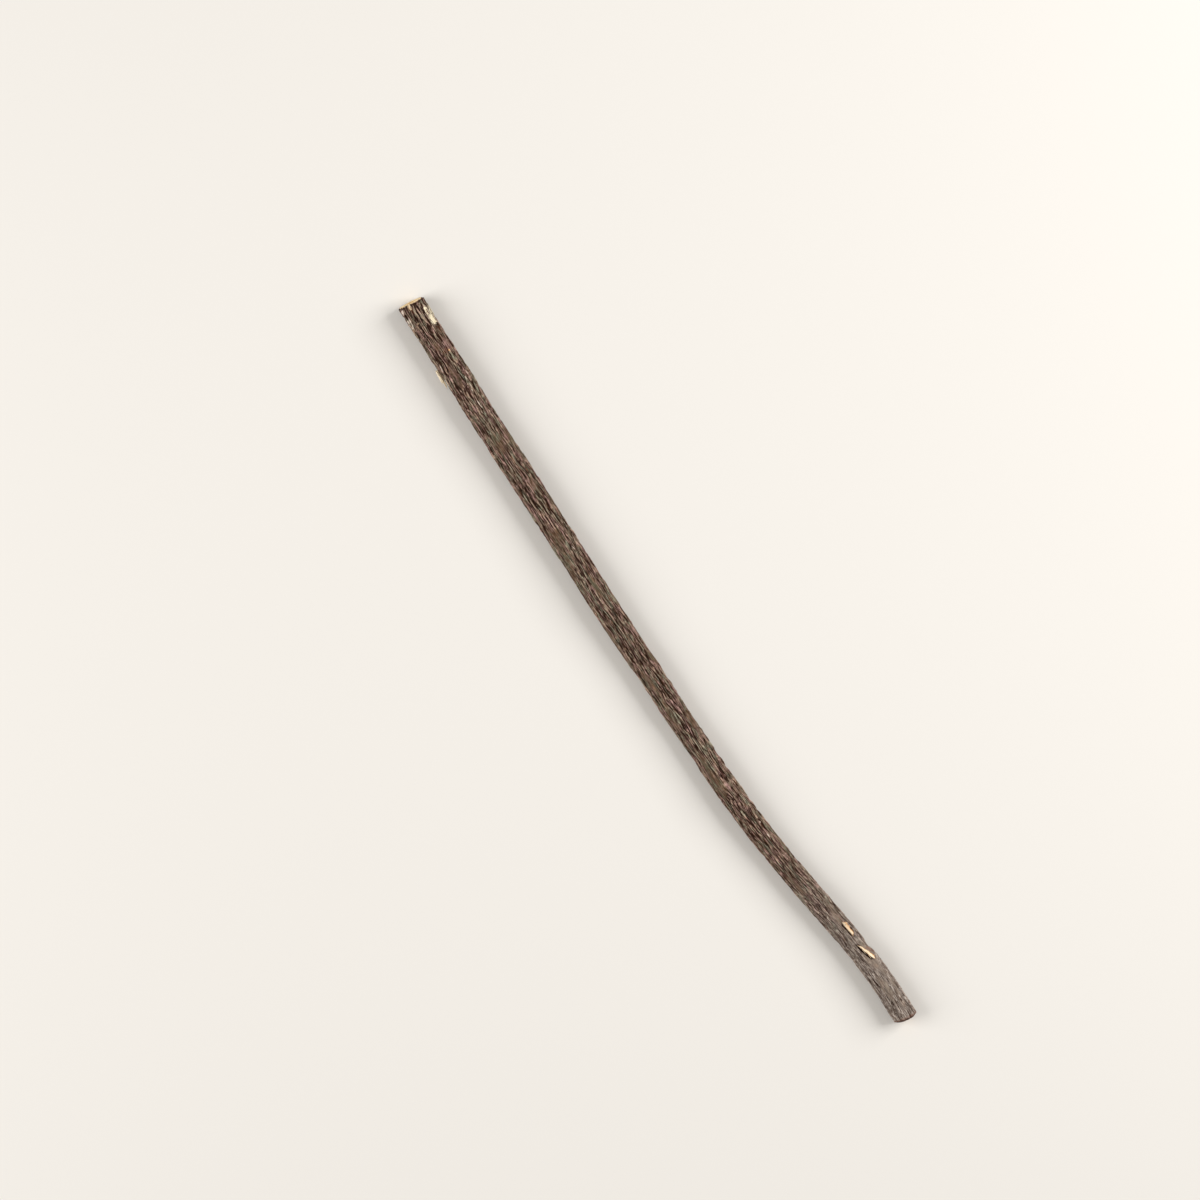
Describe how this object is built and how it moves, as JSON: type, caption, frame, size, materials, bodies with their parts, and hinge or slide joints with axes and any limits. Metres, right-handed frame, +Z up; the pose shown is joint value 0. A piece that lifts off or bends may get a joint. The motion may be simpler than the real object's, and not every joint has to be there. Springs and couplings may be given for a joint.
{
  "type": "chew stick",
  "caption": "Slim bark-covered wooden chew stick, gently bent, sawn off at both ends, with small pale nicks where the bark is off.",
  "frame": {"origin": "centre of the bounding box on the surface that the stick lies on", "axes": "+X along the stick from its thicker end to its thinner end, +Z up from the surface that it lies on"},
  "size_m": [0.201, 0.0096, 0.0058],
  "materials": {
    "bark": "matte"
  },
  "bodies": {
    "root": {"chew_stick": "bark"}
  },
  "joints": []
}
